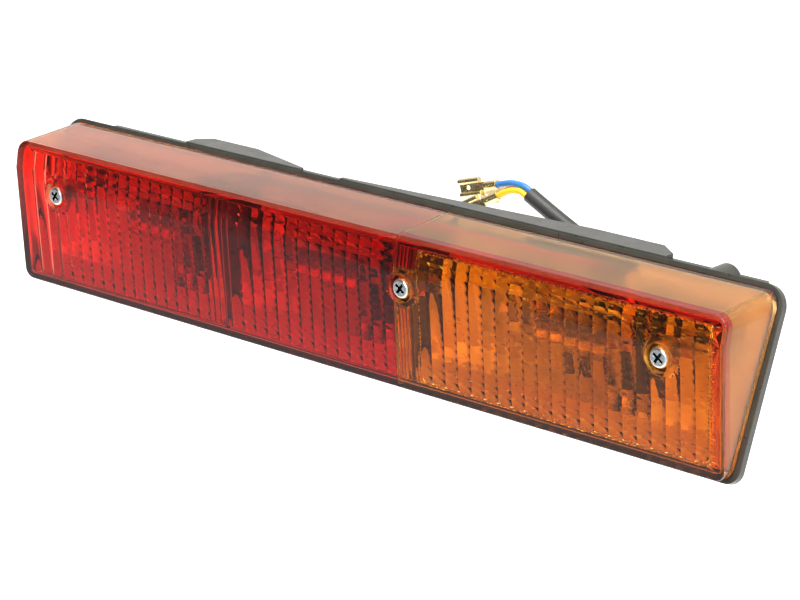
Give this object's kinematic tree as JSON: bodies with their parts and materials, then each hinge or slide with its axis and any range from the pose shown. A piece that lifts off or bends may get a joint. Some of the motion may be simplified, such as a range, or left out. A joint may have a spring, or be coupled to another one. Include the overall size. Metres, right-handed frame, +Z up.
{
  "type": "trailer tail light",
  "caption": "Surface-mounted trailer rear lamp: red tail and stop lens, amber indicator lens, bayonet bulbs, rear studs and a short sleeved cable with push-on terminals.",
  "frame": {"origin": "in the flat mounting face at the back, midway between the mounting studs", "axes": "+X along the lamp towards the amber end and the cable, +Y out of the back along the studs, +Z up; the lens faces -Y"},
  "size_m": [0.3446, 0.0919, 0.0633],
  "materials": {
    "base_plastic": "moulded black plastic with a fine satin grain",
    "seal_rubber": "soft black foam rubber",
    "screw_zinc": "bright zinc plate",
    "red_lens": "clear red acrylic, polished outside, moulded pillows inside",
    "amber_lens": "clear amber acrylic, polished outside, moulded pillows inside",
    "reflector_metal": "vacuum-metallised plastic",
    "holder_steel": "bright zinc-plated pressed steel",
    "disc_fibre": "brown phenolic",
    "contact_brass": "bright spring brass",
    "insulator_fibre": "brown phenolic",
    "bulb_glass": "clear blown glass",
    "cap_brass": "nickel-plated brass",
    "filament_tungsten": "grey tungsten on glass",
    "stud_zinc": "zinc-plated steel thread",
    "earth_tin": "tin-plated strip",
    "grommet_rubber": "black moulded rubber",
    "sleeve_pvc": "black flexible tubing",
    "wire_blue": "blue wire insulation",
    "wire_red": "red wire insulation",
    "wire_yellow": "yellow wire insulation",
    "terminal_brass": "bright stamped brass"
  },
  "bodies": {
    "base": {"base_housing": "base_plastic", "lens_seal": "seal_rubber", "mount_studs": "stud_zinc", "earth_strap": "earth_tin", "earth_bar": "earth_tin", "cable_grommet": "grommet_rubber", "cable_sleeve": "sleeve_pvc", "reflector_tail": "reflector_metal", "bulb_holder_tail": "holder_steel", "contact_leaf_tail": "contact_brass", "leaf_insulator_tail": "insulator_fibre", "reflector_stop": "reflector_metal", "bulb_holder_stop": "holder_steel", "contact_leaf_stop": "contact_brass", "leaf_insulator_stop": "insulator_fibre", "reflector_indicator": "reflector_metal", "bulb_holder_indicator": "holder_steel", "contact_leaf_indicator": "contact_brass", "leaf_insulator_indicator": "insulator_fibre", "wire_blue": "wire_blue", "terminal_blue": "terminal_brass", "inner_wire_blue": "wire_blue", "wire_red": "wire_red", "terminal_red": "terminal_brass", "inner_wire_red": "wire_red", "wire_yellow": "wire_yellow", "terminal_yellow": "terminal_brass", "inner_wire_yellow": "wire_yellow"},
    "lens": {"lens_red": "red_lens", "lens_amber": "amber_lens", "lens_screws": "screw_zinc"},
    "plunger_tail": {"contact_disc_tail": "disc_fibre"},
    "bulb_tail": {"bulb_glass_tail": "bulb_glass", "bulb_cap_tail": "cap_brass", "bulb_filament_tail": "filament_tungsten"},
    "plunger_stop": {"contact_disc_stop": "disc_fibre"},
    "bulb_stop": {"bulb_glass_stop": "bulb_glass", "bulb_cap_stop": "cap_brass", "bulb_filament_stop": "filament_tungsten"},
    "plunger_indicator": {"contact_disc_indicator": "disc_fibre"},
    "bulb_indicator": {"bulb_glass_indicator": "bulb_glass", "bulb_cap_indicator": "cap_brass", "bulb_filament_indicator": "filament_tungsten"}
  },
  "joints": [
    {"name": "lens_lift_off", "type": "slide", "parent": "base", "child": "lens", "axis": [0, -1, 0], "range_m": [0, 0.06]},
    {"name": "push_tail", "type": "slide", "parent": "base", "child": "plunger_tail", "axis": [1, 0, 0], "range_m": [0, 0.002], "stiffness_N_per_m": 1500, "springref_m": -0.004, "deforming": ["contact_leaf_tail"]},
    {"name": "twist_tail", "type": "hinge", "parent": "plunger_tail", "child": "bulb_tail", "pos_m": [-0.12, -0.0276, -0.004], "axis": [1, 0, 0], "range_deg": [0, 20]},
    {"name": "push_stop", "type": "slide", "parent": "base", "child": "plunger_stop", "axis": [1, 0, 0], "range_m": [0, 0.002], "stiffness_N_per_m": 1500, "springref_m": -0.004, "deforming": ["contact_leaf_stop"]},
    {"name": "twist_stop", "type": "hinge", "parent": "plunger_stop", "child": "bulb_stop", "pos_m": [-0.041, -0.0276, -0.004], "axis": [1, 0, 0], "range_deg": [0, 20]},
    {"name": "push_indicator", "type": "slide", "parent": "base", "child": "plunger_indicator", "axis": [1, 0, 0], "range_m": [0, 0.002], "stiffness_N_per_m": 1500, "springref_m": -0.004, "deforming": ["contact_leaf_indicator"]},
    {"name": "twist_indicator", "type": "hinge", "parent": "plunger_indicator", "child": "bulb_indicator", "pos_m": [0.072, -0.0276, -0.004], "axis": [1, 0, 0], "range_deg": [0, 20]}
  ]
}
